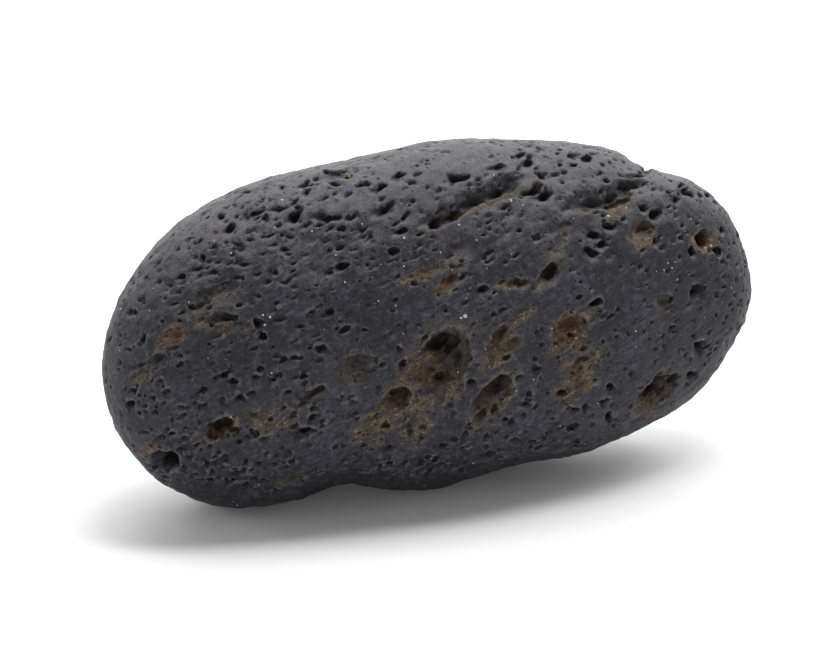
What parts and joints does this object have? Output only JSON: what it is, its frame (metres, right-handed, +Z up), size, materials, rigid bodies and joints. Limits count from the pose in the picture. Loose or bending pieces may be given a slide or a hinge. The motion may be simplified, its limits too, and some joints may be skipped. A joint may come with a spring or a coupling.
{
  "type": "lava rock",
  "caption": "Rounded, water-worn lava cobble with a dark grey pitted surface, rust-stained hollows and a small worn flat underneath to rest on.",
  "frame": {"origin": "on the ground under the middle of the stone's box", "axes": "+X along the stone's length, towards the end that stands clear of the ground; +Z up, away from the worn flat it rests on; -Y is the broad face the picture shows"},
  "size_m": [0.0994, 0.04, 0.0482],
  "materials": {
    "stone": "matte, pitted, rust-brown stain in the hollows"
  },
  "bodies": {
    "root": {"stone": "stone"}
  },
  "joints": []
}
